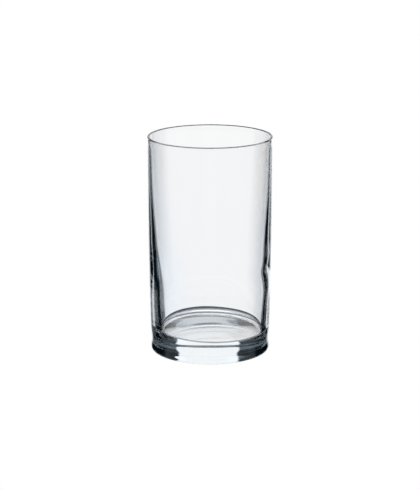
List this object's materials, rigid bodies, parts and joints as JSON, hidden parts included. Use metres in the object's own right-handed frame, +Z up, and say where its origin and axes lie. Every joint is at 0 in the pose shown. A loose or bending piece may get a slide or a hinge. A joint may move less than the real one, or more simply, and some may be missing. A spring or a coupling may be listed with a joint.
{
  "type": "lemonade glass",
  "caption": "Straight, slightly tapered clear glass tumbler with a thick heavy base, slight waist above the foot and fire-polished rim, for cold drinks.",
  "frame": {"origin": "centre of the foot, on the plane that the glass stands on", "axes": "+Z up along the axis of the glass, from the foot to the rim; the glass is the same all round, so +X and +Y are free"},
  "size_m": [0.062, 0.062, 0.109],
  "materials": {
    "clear_glass": "clear soda-lime glass, fire-polished and glossy, with a faint cool tint where it is thick"
  },
  "bodies": {
    "root": {"base": "clear_glass", "side_wall": "clear_glass", "rim": "clear_glass"}
  },
  "joints": []
}
